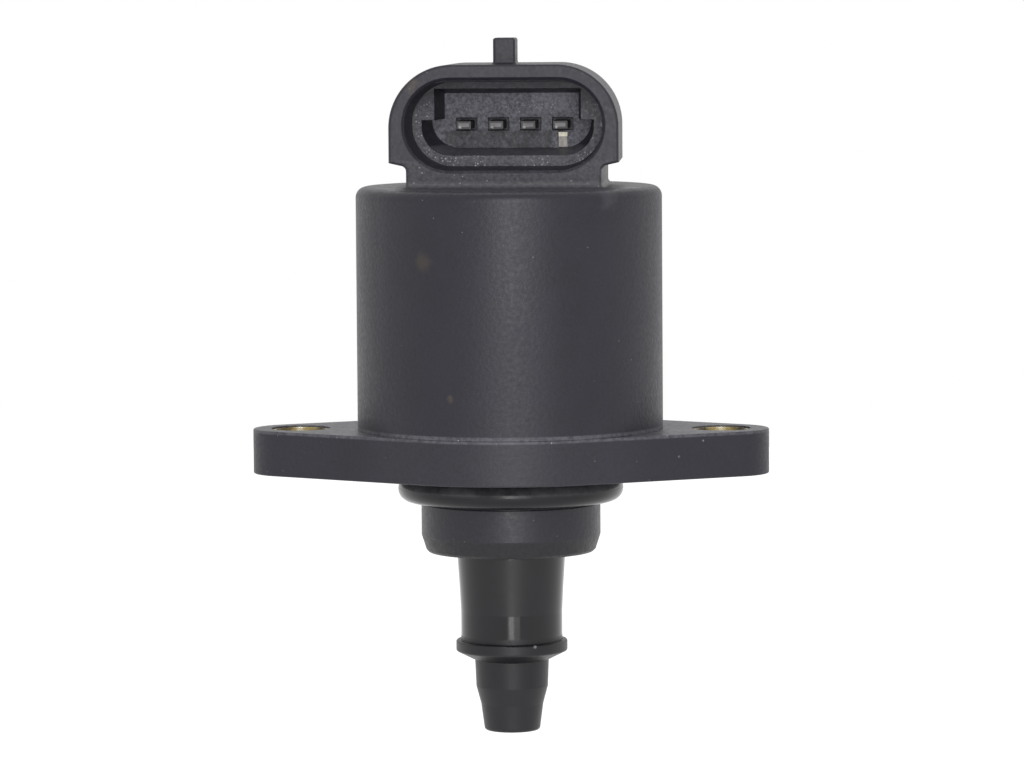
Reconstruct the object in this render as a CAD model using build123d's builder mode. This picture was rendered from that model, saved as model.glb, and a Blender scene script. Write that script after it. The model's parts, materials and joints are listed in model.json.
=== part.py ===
"""Idle air control valve: a stepper motor that slides a pintle in a throttle body's air passage.

The origin is on the valve's axis, in the mounting face under the flange. +Z runs up the axis to the
plug shroud, the shroud's mouth looks along -Y, and the bolt holes lie on X. Sizes are in millimetres.
The pintle is drawn at its rest place, a little short of its furthest reach.
"""

import os
from math import cos, radians, sin

from build123d import *

os.makedirs("parts", exist_ok=True)

# Motor body
body_d = 32.0  # outside diameter
body_h = 25.4  # from the flange to the flat end
body_wall = 2.3
body_round = 1.1  # rounded rim of the flat end
end_wall = 3.3
chamber_h = 1.3  # room for the terminal tails over the stator
clamp_rim = 1.3  # width of the step that holds the stator down

# Mounting flange
flange_t = 4.7
bolt_spacing = 44.2
ear_r = 5.0
flange_step = 0.05  # flange standing out past the body
flange_edge = 0.15  # rounding of the flange's outline
register_h = 1.3  # ring that centres the body on the flange
register_wall = 1.2
hub_wall = 1.8  # wall round the bearing seat

# Bolt sleeves
sleeve_d = 6.2
sleeve_bore = 5.3
sleeve_sink = 0.15  # below the flange's top

# Spigot and seal
spigot_d = 18.8
spigot_len = 8.2
lead_in = 0.5  # narrowing at the spigot's end
lead_in_h = 1.8
spigot_edge = 0.25
ring_section = 2.6
ring_drop = 0.25  # between the flange and the ring
ring_groove = 0.2  # depth of the ring's seat

# Pintle
stroke = 8.0  # from rest up to the inner stop
reserve = 0.5  # from rest down to the outer stop
collar_gap = 1.38  # left between collar and spigot at the inner stop
skirt_d = 11.35
skirt_wall = 1.3
skirt_show = 0.4  # length of full-width skirt below the spigot
flank_d = 10.9  # where the skirt's taper slackens
flank_h = 2.5  # from there down to the waist
waist_d = 10.65  # skirt above the collar
waist_h = 3.0
collar_d = 11.7
collar_h = 1.13
collar_round = 0.2
cone_h = 0.98  # sloping underside of the collar
tip_d = 7.78
tip_land_h = 2.8
tip_land_d = 7.54
tip_taper_h = 1.86
tip_taper_d = 6.55
tip_end_h = 2.82
tip_end_d = 5.8
tip_round = 0.35
pintle_floor = 1.4  # solid pintle above the collar's top
lug_w = 2.0  # lugs that keep the pintle from turning
lug_h = 0.8
lug_len = 2.0

# Plug shroud
mouth_y = 7.4  # mouth face, in front of the axis
mouth_w = 21.1
mouth_h = 9.9
mouth_z = 6.5  # centre of the mouth above the flat end
mouth_chamfer = 0.3
side_wall = 1.35
roof_wall = 1.3
shroud_corner = 6.5
shroud_foot = 2.65  # lower edge of the shroud's sides above the flat end
shroud_slope = 0.4  # rise of the shroud's underside, from the neck to the sides
shroud_draft = 0.38  # narrowing of each side, front to back
neck_w = 20.2
neck_draft = 0.1
neck_round = 0.6
neck_foot = 0.55  # hollow round the neck's foot
shroud_edge = 0.3  # rounding of the shroud's outline, front and back
pocket_depth = 6.3  # seal pocket, from the mouth to the ledge
pocket_draft = 0.25
key_depth = 6.3  # keyed cavity, from the ledge to the back wall
key_w = 15.3
key_wide_w = 18.0
key_h = 6.95
key_wide_h = 3.7
key_drop = 3.3  # cavity floor below the mouth's centre
key_corner = 3.0
key_draft = 0.57
rib_w = 2.3
rib_h = 2.72
rib_len = 4.0
rib_back = 2.0  # rib's front behind the mouth face
rib_corner = 0.3  # rounding of the rib's upright edges
rib_round = 0.25  # rounding of the rib's top
rib_foot = 0.35  # hollow round the rib's foot

# Terminals
pin_count = 4
pin_pitch = 3.38
pin_row_x = 0.3  # middle of the row, from the axis
pin_drop = 0.2  # row below the mouth's centre
blade_w = 1.5
strip_t = 0.8
blade_reach = 4.2  # in front of the socket's back wall
blade_point = 0.2
leg_cover = 0.8  # plastic in front of the legs
back_cover = 1.2  # plastic behind the legs
foot_rise = 1.4  # foot above the ceiling of the terminal chamber
tail_y = 9.2
tail_hold = 0.5  # length held in the bobbin's block
pin_recess_w = 2.2
pin_recess_h = 1.35
pin_recess_t = 0.5
slot_w = 1.0  # opening that bares the leg of the last terminal
slot_h = 1.6
slot_drop = 0.87  # top of that opening below the row

# Bearing
bearing_bore = 8.0
bearing_od = 16.0
bearing_w = 4.0
race_wall = 1.0
ball_d = 2.4
ball_count = 8
cage_wall = 0.9
cage_w = 3.2

# Rotor and lead screw
screw_d = 4.6
screw_anchor = 3.4  # length held in the pintle
screw_engage = 3.8  # length held in the nut at rest
nut_d = 7.2
nut_len = 5.0
nut_rise = 1.3  # nut above the bearing
hub_d = 9.4
hub_collar_d = 11.2
hub_collar_t = 0.7
rotor_share = 0.4125  # magnet's diameter as a share of the body's
magnet_end = 0.5  # magnet short of the stator's top
rear_d = 6.0
bush_d = 9.2
bush_len = 2.75
bush_proud = 0.65
washer_d = 8.6
washer_t = 0.4

# Stator
yoke_t = 0.8
air_gap = 0.3
claw_count = 6
claw_root_w = 3.2
claw_tip_w = 1.7
claw_tip_gap = 1.0
core_wall = 0.6
bobbin_lip = 0.7
winding_inset = 0.5
block_wall = 0.5
block_rise = 0.8

# Clearances
seat_fit = 0.02  # pieces pressed or moulded together
slip_fit = 0.05  # pieces put together by hand
run_fit = 0.05  # shaft turning or sliding in a bore
skirt_clear = 0.25
lug_clear = 0.2
block_clear = 0.2
stop_clear = 0.3  # left at a stop
screw_clear = 0.3
washer_play = 0.1

# Levels along the axis
body_top = flange_t + body_h
cavity_top = body_top - end_wall
stack_top = cavity_top - chamber_h
stack_bottom = flange_t + bearing_w
guide_top = flange_t - stop_clear - stroke
guide_end = -spigot_len - skirt_show
collar_top = -spigot_len - stroke - collar_gap
skirt_floor = collar_top + pintle_floor
tip_top = collar_top - collar_h - cone_h
land_end = tip_top - tip_land_h
taper_end = land_end - tip_taper_h
tip_bottom = taper_end - tip_end_h
key_bottom = guide_top - lug_len - reserve - stop_clear
groove_end = -ring_section - 2 * ring_drop
nut_bottom = stack_bottom + nut_rise
nut_top = nut_bottom + nut_len
screw_bottom = skirt_floor - screw_anchor
screw_top = nut_bottom + screw_engage
screw_room = screw_top + stroke + stop_clear
magnet_bottom = stack_bottom + hub_collar_t
magnet_top = stack_top - magnet_end
bush_bottom = cavity_top - bush_proud
bush_top = bush_bottom + bush_len
shoulder_z = bush_bottom - washer_play - washer_t
bearing_z = flange_t + bearing_w / 2
block_top = stack_top + block_rise
phase_h = (stack_top - stack_bottom) / 2
coil_h = phase_h - 2 * yoke_t

# Radii
body_r = body_d / 2
cavity_r = body_r - body_wall
chamber_r = cavity_r - clamp_rim
spigot_r = spigot_d / 2
ring_seat_r = spigot_r - ring_groove
ring_r = ring_seat_r + seat_fit + ring_section / 2
skirt_r = skirt_d / 2
bore_r = skirt_r + skirt_clear
seat_r = bearing_od / 2 + seat_fit
ball_path_r = (bearing_od + bearing_bore) / 4
ball_room_r = ball_d / 2 + run_fit
magnet_r = body_d * rotor_share / 2
claw_in_r = magnet_r + air_gap
claw_out_r = claw_in_r + yoke_t
cup_r = cavity_r - slip_fit
cup_in_r = cup_r - yoke_t
core_in_r = claw_out_r + slip_fit
core_out_r = core_in_r + core_wall
bobbin_r = cup_in_r - slip_fit

# The shroud's places, seen from its mouth
mouth_mid = body_top + mouth_z
shroud_top = mouth_mid + mouth_h / 2 + roof_wall
shroud_half = mouth_w / 2 + side_wall
ledge_y = -mouth_y + pocket_depth
back_y = ledge_y + key_depth
leg_y = back_y + leg_cover + strip_t / 2
shroud_back = leg_y + strip_t / 2 + back_cover
pin_z = mouth_mid - pin_drop
foot_z = cavity_top + foot_rise
tail_end = block_top - tail_hold
pin_span = pin_pitch * (pin_count - 1)
pin_xs = [pin_row_x - pin_span / 2 + pin_pitch * index for index in range(pin_count)]


def turned(points):
    """A solid of revolution about the axis, from the (radius, height) points of its half section."""
    with BuildPart() as piece:
        with BuildSketch(Plane.XZ):
            with BuildLine():
                Polyline(*points, close=True)
            make_face()
        revolve(axis=Axis.Z)
    return piece.part


def tube(inner_r, outer_r, bottom, top):
    """A plain ring about the axis."""
    return turned([(inner_r, bottom), (outer_r, bottom), (outer_r, top), (inner_r, top)])


def spoke(turn, height):
    """A plane on the axis that faces outwards at a turn in degrees, with its X across and its Y up."""
    angle = radians(turn)
    across = (-sin(angle), cos(angle), 0)
    return Plane(origin=(0, 0, height), x_dir=across, z_dir=(cos(angle), sin(angle), 0))


def bar(from_y, from_z, to_y, to_z):
    """One straight run of a terminal's side view, squared off half a thickness past both its ends."""
    with Locations(((from_y + to_y) / 2, (from_z + to_z) / 2)):
        Rectangle(abs(to_y - from_y) + strip_t, abs(to_z - from_z) + strip_t)


def terminal(x):
    """A terminal stamped from strip: blade, leg down the neck, foot in the end wall, tail to the coils."""
    tip_y = back_y - blade_reach
    with BuildPart() as piece:
        with BuildSketch(Plane.YZ.offset(x)):
            bar(tip_y + strip_t / 2, pin_z, leg_y, pin_z)
            bar(leg_y, pin_z, leg_y, foot_z)
            bar(leg_y, foot_z, tail_y, foot_z)
            bar(tail_y, foot_z, tail_y, tail_end + strip_t / 2)
        extrude(amount=blade_w / 2, both=True)
        chamfer(piece.faces().sort_by(Axis.Y)[0].edges(), length=blade_point)
    return piece.part


def shroud_outline(half_w, neck_half):
    """The shroud with its neck, seen from the mouth: flat top, round shoulders, sloping underside."""
    foot = body_top - body_round
    side = body_top + shroud_foot
    under = side - shroud_slope
    arch = shroud_top - shroud_corner
    with BuildSketch() as outline:
        with BuildLine():
            left_neck = Polyline((-neck_half, foot), (-neck_half, under), (-half_w, side), (-half_w, arch))
            RadiusArc(left_neck @ 1, (shroud_corner - half_w, shroud_top), shroud_corner)
            Line((shroud_corner - half_w, shroud_top), (half_w - shroud_corner, shroud_top))
            RadiusArc((half_w - shroud_corner, shroud_top), (half_w, arch), shroud_corner)
            Polyline((half_w, arch), (half_w, side), (neck_half, under), (neck_half, foot))
            Line((neck_half, foot), (-neck_half, foot))
        make_face()
        fillet(outline.vertices().group_by(Axis.Y)[1], radius=neck_round)
    return outline.sketch


def mouth_outline(inset):
    """The oblong mouth of the seal pocket, drawn in by an inset."""
    with BuildSketch() as outline:
        with Locations((0, mouth_mid)):
            SlotOverall(mouth_w - 2 * inset, mouth_h - 2 * inset)
    return outline.sketch


def key_outline(inset):
    """The keyed cavity: a wide lower part with round corners under a narrower upper part."""
    floor = mouth_mid - key_drop + inset
    wide_top = floor - inset + key_wide_h
    roof = floor - 2 * inset + key_h
    with BuildSketch() as outline:
        with BuildLine():
            Polyline(
                (key_wide_w / 2 - inset, floor),
                (key_wide_w / 2 - inset, wide_top),
                (key_w / 2 - inset, wide_top),
                (key_w / 2 - inset, roof),
                (inset - key_w / 2, roof),
                (inset - key_w / 2, wide_top),
                (inset - key_wide_w / 2, wide_top),
                (inset - key_wide_w / 2, floor),
                close=True,
            )
        make_face()
        fillet(outline.vertices().group_by(Axis.Y)[0], radius=key_corner)
    return outline.sketch


def claw_yoke(base_z, way, turn, outer_r, rim_h):
    """A pressed yoke: plate, ring of tapered claws that point up (way 1) or down (-1), and cup rim."""
    face = Plane(origin=(0, 0, base_z), z_dir=(0, 0, way))
    claw_len = coil_h - claw_tip_gap
    claw_mid_r = (claw_in_r + claw_out_r) / 2
    pitch_w = 2 * claw_mid_r * sin(radians(180 / claw_count))
    root_gap = (pitch_w - claw_root_w) / 2
    tip_gap = (pitch_w - claw_tip_w) / 2
    with BuildPart() as piece:
        with BuildSketch(face):
            Circle(outer_r)
            Circle(claw_in_r, mode=Mode.SUBTRACT)
        extrude(amount=yoke_t)
        with BuildSketch(face):
            Circle(claw_out_r)
            Circle(claw_in_r, mode=Mode.SUBTRACT)
        extrude(amount=yoke_t + claw_len)
        for index in range(claw_count):
            with BuildSketch(spoke(turn + 360 / claw_count * (index + 0.5), base_z)):
                with BuildLine():
                    Polyline(
                        (-root_gap, way * yoke_t),
                        (root_gap, way * yoke_t),
                        (tip_gap, way * (yoke_t + claw_len)),
                        (-tip_gap, way * (yoke_t + claw_len)),
                        close=True,
                    )
                make_face()
        extrude(amount=claw_out_r + yoke_t, mode=Mode.SUBTRACT)
        if rim_h:
            with BuildSketch(face):
                Circle(outer_r)
                Circle(outer_r - yoke_t, mode=Mode.SUBTRACT)
            extrude(amount=rim_h)
    return piece.part


def spool(plate_z):
    """A bobbin that fills the space over a yoke plate whose upper face is at plate_z."""
    bottom = plate_z + slip_fit
    top = plate_z + coil_h - slip_fit
    return turned(
        [
            (core_in_r, bottom),
            (bobbin_r, bottom),
            (bobbin_r, bottom + bobbin_lip),
            (core_out_r, bottom + bobbin_lip),
            (core_out_r, top - bobbin_lip),
            (bobbin_r, top - bobbin_lip),
            (bobbin_r, top),
            (core_in_r, top),
        ]
    )


def winding(plate_z):
    """The wound wire between the lips of the bobbin over plate_z."""
    rim = slip_fit + bobbin_lip + seat_fit
    inner_r = core_out_r + seat_fit
    return tube(inner_r, bobbin_r - winding_inset, plate_z + rim, plate_z + coil_h - rim)


# Terminals
terminals = [terminal(x) for x in pin_xs]
for number, piece in enumerate(terminals, start=1):
    piece.label = f"terminal_{number}"
    export_step(piece, f"parts/terminal_{number}.step")

# Motor housing, with the shroud, its socket and the latch rib
with BuildPart() as motor_housing:
    with BuildSketch(Plane.XZ):
        with BuildLine():
            Polyline(
                (cavity_r, flange_t),
                (body_r, flange_t),
                (body_r, body_top),
                (0, body_top),
                (0, bush_top),
                (bush_d / 2 + seat_fit, bush_top),
                (bush_d / 2 + seat_fit, cavity_top),
                (chamber_r, cavity_top),
                (chamber_r, stack_top),
                (cavity_r, stack_top),
                close=True,
            )
        make_face()
    revolve(axis=Axis.Z)
    fillet(motor_housing.edges().filter_by(GeomType.CIRCLE).sort_by(Axis.Z)[-1], radius=body_round)
    with BuildSketch(Plane.XZ.offset(mouth_y)):
        add(shroud_outline(shroud_half, neck_w / 2))
    with BuildSketch(Plane.XZ.offset(-shroud_back)):
        add(shroud_outline(shroud_half - shroud_draft, neck_w / 2 - neck_draft))
    loft(ruled=True)
    shroud_ends = motor_housing.faces().filter_by(Plane.XZ).sort_by(Axis.Y)
    for end_face in (shroud_ends[0], shroud_ends[-1]):
        fillet(end_face.edges().sort_by(Axis.Z)[1:], radius=shroud_edge)
    flat_end = motor_housing.faces().filter_by(Plane.XY).sort_by(Axis.Z)[-2]
    fillet(flat_end.inner_wires()[0].edges(), radius=neck_foot)
    with BuildSketch(Plane.XY.offset(shroud_top)):
        with Locations((0, rib_back - mouth_y)):
            Rectangle(rib_w, rib_len, align=(Align.CENTER, Align.MIN))
    extrude(amount=rib_h)
    fillet(motor_housing.edges(Select.LAST).filter_by(Axis.Z), radius=rib_corner)
    fillet(motor_housing.faces().sort_by(Axis.Z)[-1].edges(), radius=rib_round)
    roof_face = motor_housing.faces().filter_by(Plane.XY).sort_by(Axis.Z)[-2]
    fillet(roof_face.inner_wires()[0].edges(), radius=rib_foot)
    with BuildSketch(Plane.XZ.offset(mouth_y)):
        add(mouth_outline(0))
    with BuildSketch(Plane.XZ.offset(mouth_y - mouth_chamfer)):
        add(mouth_outline(mouth_chamfer))
    loft(ruled=True, mode=Mode.SUBTRACT)
    with BuildSketch(Plane.XZ.offset(mouth_y - mouth_chamfer)):
        add(mouth_outline(mouth_chamfer))
    with BuildSketch(Plane.XZ.offset(-ledge_y)):
        add(mouth_outline(mouth_chamfer + pocket_draft))
    loft(ruled=True, mode=Mode.SUBTRACT)
    with BuildSketch(Plane.XZ.offset(-ledge_y)):
        add(key_outline(0))
    with BuildSketch(Plane.XZ.offset(-back_y)):
        add(key_outline(key_draft))
    loft(ruled=True, mode=Mode.SUBTRACT)
    with BuildSketch(Plane.XZ.offset(-back_y)):
        with Locations(*[(x, pin_z) for x in pin_xs]):
            Rectangle(pin_recess_w, pin_recess_h)
    extrude(amount=-pin_recess_t, mode=Mode.SUBTRACT)
    with BuildSketch(Plane.XZ.offset(-back_y)):
        with Locations((pin_xs[-1], pin_z - slot_drop)):
            Rectangle(slot_w, slot_h, align=(Align.CENTER, Align.MAX))
    extrude(amount=-leg_cover, mode=Mode.SUBTRACT)
    for piece in terminals:
        add(piece, mode=Mode.SUBTRACT)
motor_housing.part.label = "motor_housing"
export_step(motor_housing.part, "parts/motor_housing.step")

# Mounting flange, with its ears, spigot, pintle bore and bearing seat
with BuildPart() as mounting_flange:
    with BuildSketch():
        Circle(body_r + flange_step)
        with Locations((-bolt_spacing / 2, 0), (bolt_spacing / 2, 0)):
            Circle(ear_r)
        make_hull()
    extrude(amount=flange_t)
    outline_edges = mounting_flange.edges().group_by(Axis.Z)
    fillet(outline_edges[0] + outline_edges[-1], radius=flange_edge)
    add(
        turned(
            [
                (0, 0),
                (ring_seat_r, 0),
                (ring_seat_r, groove_end),
                (spigot_r, groove_end),
                (spigot_r, lead_in_h - spigot_len),
                (spigot_r - lead_in, spigot_edge - spigot_len),
                (spigot_r - lead_in - spigot_edge, -spigot_len),
                (0, -spigot_len),
            ]
        )
    )
    with BuildSketch(Plane.XY.offset(flange_t)):
        Circle(cup_r)
        Circle(cup_r - register_wall, mode=Mode.SUBTRACT)
    extrude(amount=register_h)
    with BuildSketch(Plane.XY.offset(flange_t)):
        Circle(seat_r + hub_wall)
        Circle(seat_r, mode=Mode.SUBTRACT)
    extrude(amount=bearing_w)
    with BuildSketch(Plane.XY.offset(-spigot_len)):
        Circle(bore_r)
    extrude(amount=spigot_len + flange_t, mode=Mode.SUBTRACT)
    with BuildSketch(Plane.XY.offset(key_bottom)):
        Rectangle(lug_w + 2 * lug_clear, 2 * (skirt_r + lug_h + lug_clear))
    extrude(amount=flange_t - key_bottom, mode=Mode.SUBTRACT)
    with BuildSketch():
        with Locations((-bolt_spacing / 2, 0), (bolt_spacing / 2, 0)):
            Circle(sleeve_d / 2 + seat_fit)
    extrude(amount=flange_t, mode=Mode.SUBTRACT)
mounting_flange.part.label = "mounting_flange"
export_step(mounting_flange.part, "parts/mounting_flange.step")

# Bolt sleeves
for side, sleeve_x in (("left", -bolt_spacing / 2), ("right", bolt_spacing / 2)):
    with BuildPart() as bolt_sleeve:
        with BuildSketch():
            with Locations((sleeve_x, 0)):
                Circle(sleeve_d / 2)
                Circle(sleeve_bore / 2, mode=Mode.SUBTRACT)
        extrude(amount=flange_t - sleeve_sink)
    bolt_sleeve.part.label = f"{side}_bolt_sleeve"
    export_step(bolt_sleeve.part, f"parts/{side}_bolt_sleeve.step")

# Seal ring under the flange
with BuildPart() as o_ring:
    with BuildSketch(Plane.XZ):
        with Locations((ring_r, -ring_drop - ring_section / 2)):
            Circle(ring_section / 2)
    revolve(axis=Axis.Z)
o_ring.part.label = "o_ring"
export_step(o_ring.part, "parts/o_ring.step")

# Pintle, hollow above the collar, with the two lugs that run in the keyways
with BuildPart() as pintle:
    with BuildSketch(Plane.XZ):
        with BuildLine():
            Polyline(
                (skirt_r - skirt_wall, guide_top),
                (skirt_r, guide_top),
                (skirt_r, guide_end),
                (flank_d / 2, collar_top + waist_h + flank_h),
                (waist_d / 2, collar_top + waist_h),
                (waist_d / 2, collar_top),
                (collar_d / 2, collar_top),
                (collar_d / 2, collar_top - collar_h),
                (tip_d / 2, tip_top),
                (tip_land_d / 2, land_end),
                (tip_taper_d / 2, taper_end),
                (tip_end_d / 2, tip_bottom),
                (0, tip_bottom),
                (0, screw_bottom),
                (screw_d / 2 + seat_fit, screw_bottom),
                (screw_d / 2 + seat_fit, skirt_floor),
                (skirt_r - skirt_wall, skirt_floor),
                close=True,
            )
        make_face()
    revolve(axis=Axis.Z)
    rims = pintle.edges().filter_by(GeomType.CIRCLE)
    collar_rims = rims.filter_by(lambda rim: abs(rim.radius - collar_d / 2) < seat_fit)
    fillet(rims.sort_by(Axis.Z)[0], radius=tip_round)
    fillet(collar_rims, radius=collar_round)
    with BuildSketch(Plane.XY.offset(guide_top - lug_len)):
        Rectangle(lug_w, 2 * (skirt_r + lug_h))
        Circle(skirt_r - skirt_wall / 2, mode=Mode.SUBTRACT)
    extrude(amount=lug_len)
pintle.part.label = "pintle"
export_step(pintle.part, "parts/pintle.step")

# Lead screw, fixed in the pintle
with BuildPart() as lead_screw:
    with BuildSketch(Plane.XY.offset(screw_bottom)):
        Circle(screw_d / 2)
    extrude(amount=screw_top - screw_bottom)
lead_screw.part.label = "lead_screw"
export_step(lead_screw.part, "parts/lead_screw.step")

# Rotor hub: front journal, magnet seat, moulded-in nut and rear journal
screw_room_r = screw_d / 2 + screw_clear
with BuildPart() as rotor_hub:
    add(
        turned(
            [
                (screw_room_r, flange_t),
                (bearing_bore / 2 - seat_fit, flange_t),
                (bearing_bore / 2 - seat_fit, stack_bottom),
                (hub_collar_d / 2, stack_bottom),
                (hub_collar_d / 2, magnet_bottom),
                (hub_d / 2, magnet_bottom),
                (hub_d / 2, shoulder_z),
                (rear_d / 2, shoulder_z),
                (rear_d / 2, bush_top - stop_clear),
                (0, bush_top - stop_clear),
                (0, screw_room),
                (screw_room_r, screw_room),
                (screw_room_r, nut_top),
                (nut_d / 2, nut_top),
                (nut_d / 2, nut_bottom),
                (screw_room_r, nut_bottom),
            ]
        )
    )
rotor_hub.part.label = "rotor_hub"
export_step(rotor_hub.part, "parts/rotor_hub.step")

# Lead nut in the hub
with BuildPart() as lead_nut:
    add(tube(screw_d / 2 + run_fit, nut_d / 2 - seat_fit, nut_bottom, nut_top))
lead_nut.part.label = "lead_nut"
export_step(lead_nut.part, "parts/lead_nut.step")

# Ring magnet on the hub
with BuildPart() as rotor_magnet:
    add(tube(hub_d / 2 + seat_fit, magnet_r, magnet_bottom, magnet_top))
rotor_magnet.part.label = "rotor_magnet"
export_step(rotor_magnet.part, "parts/rotor_magnet.step")

# Thrust washer on the hub's shoulder
with BuildPart() as thrust_washer:
    add(tube(rear_d / 2 + slip_fit, washer_d / 2, shoulder_z, shoulder_z + washer_t))
thrust_washer.part.label = "thrust_washer"
export_step(thrust_washer.part, "parts/thrust_washer.step")

# Rear bush in the end wall
with BuildPart() as rear_bush:
    add(tube(rear_d / 2 + run_fit, bush_d / 2, bush_bottom, bush_top))
rear_bush.part.label = "rear_bush"
export_step(rear_bush.part, "parts/rear_bush.step")

# Ball bearing rings, each with its groove
ring_walls = {
    "bearing_inner_ring": (bearing_bore / 2, bearing_bore / 2 + race_wall),
    "bearing_outer_ring": (bearing_od / 2 - race_wall, bearing_od / 2),
}
for ring_name, (ring_in_r, ring_out_r) in ring_walls.items():
    with BuildPart() as bearing_ring:
        add(tube(ring_in_r, ring_out_r, flange_t, stack_bottom))
        with BuildSketch(Plane.XZ):
            with Locations((ball_path_r, bearing_z)):
                Circle(ball_room_r)
        revolve(axis=Axis.Z, mode=Mode.SUBTRACT)
    bearing_ring.part.label = ring_name
    export_step(bearing_ring.part, f"parts/{ring_name}.step")

# Balls, in one node
with BuildPart() as bearing_balls:
    with Locations((0, 0, bearing_z)):
        with PolarLocations(ball_path_r, ball_count, start_angle=180 / ball_count):
            Sphere(ball_d / 2)
bearing_balls.part.label = "bearing_balls"
export_step(bearing_balls.part, "parts/bearing_balls.step")

# Cage with a pocket for each ball
with BuildPart() as bearing_cage:
    cage_in_r = ball_path_r - cage_wall / 2
    add(tube(cage_in_r, cage_in_r + cage_wall, bearing_z - cage_w / 2, bearing_z + cage_w / 2))
    for index in range(ball_count):
        with BuildSketch(spoke(360 / ball_count * (index + 0.5), bearing_z)):
            Circle(ball_room_r)
    extrude(amount=ball_path_r + cage_wall, mode=Mode.SUBTRACT)
bearing_cage.part.label = "bearing_cage"
export_step(bearing_cage.part, "parts/bearing_cage.step")

# Lower phase of the stator
claw_turn = 180 / claw_count
mid_z = stack_bottom + phase_h
lower_outer_yoke = claw_yoke(stack_bottom, 1, 0, cup_r, phase_h)
lower_inner_yoke = claw_yoke(mid_z, -1, claw_turn, cup_in_r - slip_fit, 0)
lower_bobbin = spool(stack_bottom + yoke_t)
lower_winding = winding(stack_bottom + yoke_t)

# Upper phase, turned by half a pole against the lower one
upper_inner_yoke = claw_yoke(mid_z, 1, claw_turn / 2, cup_in_r - slip_fit, 0)
upper_winding = winding(mid_z + yoke_t)
block_w = pin_span + blade_w + 2 * block_wall
block_t = strip_t + 2 * block_wall
with BuildPart() as upper_outer_yoke:
    add(claw_yoke(stack_top, -1, 3 * claw_turn / 2, cup_r, phase_h))
    with BuildSketch(Plane.XY.offset(stack_top)):
        with Locations((pin_row_x, tail_y)):
            Rectangle(block_w + 2 * block_clear, block_t + 2 * block_clear)
    extrude(amount=-yoke_t, mode=Mode.SUBTRACT)

# Upper bobbin, with the block that takes the terminal tails
with BuildPart() as upper_bobbin:
    add(spool(mid_z + yoke_t))
    with BuildSketch(Plane.XY.offset(stack_top - yoke_t - slip_fit - bobbin_lip)):
        with Locations((pin_row_x, tail_y)):
            Rectangle(block_w, block_t)
    extrude(amount=block_rise + yoke_t + slip_fit + bobbin_lip)
    with BuildSketch(Plane.XY.offset(block_top)):
        with Locations(*[(x, tail_y) for x in pin_xs]):
            Rectangle(blade_w + 2 * seat_fit, strip_t + 2 * seat_fit)
    extrude(amount=tail_end - block_top, mode=Mode.SUBTRACT)

stator_pieces = {
    "lower_outer_yoke": lower_outer_yoke,
    "lower_inner_yoke": lower_inner_yoke,
    "lower_bobbin": lower_bobbin,
    "lower_winding": lower_winding,
    "upper_inner_yoke": upper_inner_yoke,
    "upper_outer_yoke": upper_outer_yoke.part,
    "upper_bobbin": upper_bobbin.part,
    "upper_winding": upper_winding,
}
for piece_name, piece in stator_pieces.items():
    piece.label = piece_name
    export_step(piece, f"parts/{piece_name}.step")
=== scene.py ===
"""Studio scene of an idle air control valve.

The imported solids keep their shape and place, and get their finishes here. The lead screw gets its thread and
the two windings get their turns of wire, which the solids leave plain. Lengths are in metres, in the frame of
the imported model: +Z runs up the valve's axis, the plug's mouth looks along -Y, and the origin lies in the
mounting face under the flange.
"""

import json
import logging
import math
from dataclasses import dataclass, field
from enum import Enum

import bmesh
import bpy
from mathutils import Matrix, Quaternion, Vector


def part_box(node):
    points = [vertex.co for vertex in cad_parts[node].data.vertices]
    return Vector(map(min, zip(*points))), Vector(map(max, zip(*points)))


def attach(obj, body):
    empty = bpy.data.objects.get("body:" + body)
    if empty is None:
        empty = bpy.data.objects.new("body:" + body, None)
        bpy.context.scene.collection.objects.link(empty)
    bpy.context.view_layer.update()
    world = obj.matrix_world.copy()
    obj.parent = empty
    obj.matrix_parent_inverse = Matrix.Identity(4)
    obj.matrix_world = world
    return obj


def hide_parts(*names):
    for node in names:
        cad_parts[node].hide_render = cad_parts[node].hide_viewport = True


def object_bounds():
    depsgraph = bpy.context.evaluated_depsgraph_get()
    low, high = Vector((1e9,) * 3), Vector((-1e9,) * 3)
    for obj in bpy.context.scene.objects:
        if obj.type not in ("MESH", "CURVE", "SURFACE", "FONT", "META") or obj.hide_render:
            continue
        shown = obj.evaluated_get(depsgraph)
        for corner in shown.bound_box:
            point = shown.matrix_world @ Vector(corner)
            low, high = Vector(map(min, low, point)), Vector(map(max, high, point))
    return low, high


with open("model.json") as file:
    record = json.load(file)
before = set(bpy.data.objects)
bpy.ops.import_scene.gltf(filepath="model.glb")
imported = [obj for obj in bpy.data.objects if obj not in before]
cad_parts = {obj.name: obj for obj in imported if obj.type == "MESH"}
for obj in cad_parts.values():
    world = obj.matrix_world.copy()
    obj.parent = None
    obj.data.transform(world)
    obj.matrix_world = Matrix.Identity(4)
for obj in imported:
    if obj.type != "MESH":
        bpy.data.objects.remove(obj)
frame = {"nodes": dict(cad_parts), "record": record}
cad_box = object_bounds()

log = logging.getLogger("valve")

MM = 0.001
PICTURE_WIDTH = 1024
SENSOR_WIDTH = 36.0

DISPLAY_TOP = 255
TOE_END, TOE_SLOPE = 0.04045, 12.92
CURVE_LIFT, CURVE_POWER = 0.055, 2.4

Colour = tuple[float, float, float, float]
Point = tuple[float, float, float]

WHITE: Colour = (1.0, 1.0, 1.0, 1.0)


def mm(x: float, y: float, z: float) -> Point:
    """Turn three lengths in millimetres into metres.

    Args:
        x, y, z: Lengths along the axes.

    Returns:
        The same lengths in metres.
    """
    return x * MM, y * MM, z * MM


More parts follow.
